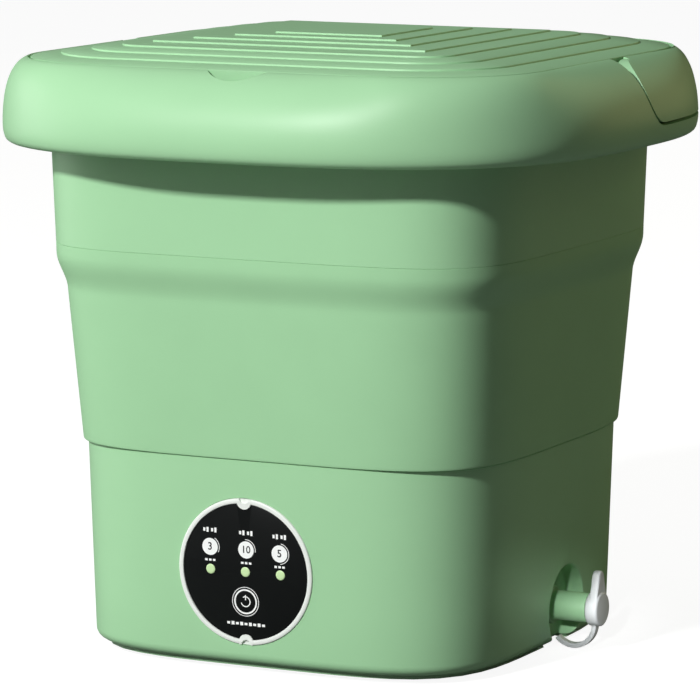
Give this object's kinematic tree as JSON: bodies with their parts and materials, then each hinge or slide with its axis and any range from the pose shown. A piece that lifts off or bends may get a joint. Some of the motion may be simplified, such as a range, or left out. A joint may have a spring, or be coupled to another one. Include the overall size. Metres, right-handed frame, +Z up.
{
  "type": "portable mini washer",
  "caption": "Small folding tub washer: base with drive, panel and drain, soft wall, rounded rim with bail handle, stepped lift-off lid.",
  "frame": {"origin": "centre of the floor contact, level with the soles of the feet", "axes": "+Z up, -Y towards the control panel at the front, +X towards the drain spout"},
  "size_m": [0.3, 0.3, 0.2891],
  "materials": {
    "shell_green": "satin",
    "soft_green": "matt",
    "cover_green": "matt",
    "panel_black": "gloss",
    "pale_ring": "satin",
    "light_grey": "satin",
    "silicone_grey": "matt",
    "steel": "brushed",
    "black_rubber": "matt",
    "black_plastic": "satin",
    "led_lens": "frosted",
    "board_green": "lacquered",
    "copper": "wound",
    "lead_red": "satin"
  },
  "bodies": {
    "base": {"base_shell": "shell_green", "bottom_cover": "cover_green", "rubber_feet": "black_rubber", "bottom_screws": "steel", "tub_basin": "shell_green", "bearing_housing": "steel", "housing_screws": "steel", "lower_bearing": "steel", "upper_bearing": "steel", "shaft_seal": "black_rubber", "motor_can": "steel", "motor_bracket": "steel", "motor_screws": "steel", "drive_belt": "black_rubber", "drain_elbow": "light_grey", "drain_spout": "shell_green", "panel_bezel": "pale_ring", "panel_overlay": "panel_black", "panel_carrier": "black_plastic", "tact_switch": "black_plastic", "led_lights": "led_lens", "control_board": "board_green", "board_screws": "steel", "power_inlet": "black_plastic", "wire_harness": "lead_red", "soft_wall": "soft_green"},
    "agitator": {"drive_shaft": "steel", "driven_pulley": "light_grey", "pulley_nut": "steel", "pulsator": "light_grey", "pulsator_cap": "shell_green", "pulsator_screw": "steel"},
    "rotor": {"motor_armature": "copper", "motor_pulley": "light_grey"},
    "key": {"power_button": "panel_black"},
    "plug": {"drain_cap": "silicone_grey", "cap_strap": "silicone_grey"},
    "upper": {"upper_ring": "shell_green", "rim_collar": "shell_green", "rim_screws": "steel", "handle_pins": "steel"},
    "lid": {"lid_plate": "shell_green", "lid_seal": "silicone_grey"},
    "handle": {"carry_handle": "shell_green"}
  },
  "joints": [
    {"name": "fold", "type": "slide", "parent": "base", "child": "upper", "axis": [0, 0, 1], "range_m": [-0.12, 0], "deforming": ["soft_wall"]},
    {"name": "lid_lift", "type": "slide", "parent": "upper", "child": "lid", "axis": [0, 0, 1], "range_m": [0, 0.04]},
    {"name": "handle_swing", "type": "hinge", "parent": "upper", "child": "handle", "pos_m": [0, 0.021, 0.264], "axis": [1, 0, 0], "range_deg": [0, 90]},
    {"name": "pulsator_spin", "type": "hinge", "parent": "base", "child": "agitator", "pos_m": [0, 0, 0.09], "axis": [0, 0, 1], "continuous": true},
    {"name": "motor_spin", "type": "hinge", "parent": "base", "child": "rotor", "pos_m": [-0.062, 0, 0.02], "axis": [0, 0, 1], "continuous": true},
    {"name": "cap_pull", "type": "slide", "parent": "base", "child": "plug", "axis": [1, 0, 0], "range_m": [0, 0.025], "deforming": ["cap_strap"]},
    {"name": "power_press", "type": "slide", "parent": "base", "child": "key", "axis": [0, 0.9996, 0.0287], "range_m": [0, 0.0008], "stiffness_N_per_m": 500}
  ],
  "couplings": [
    {"joint": "motor_spin", "follows": "pulsator_spin", "ratio": 5}
  ]
}
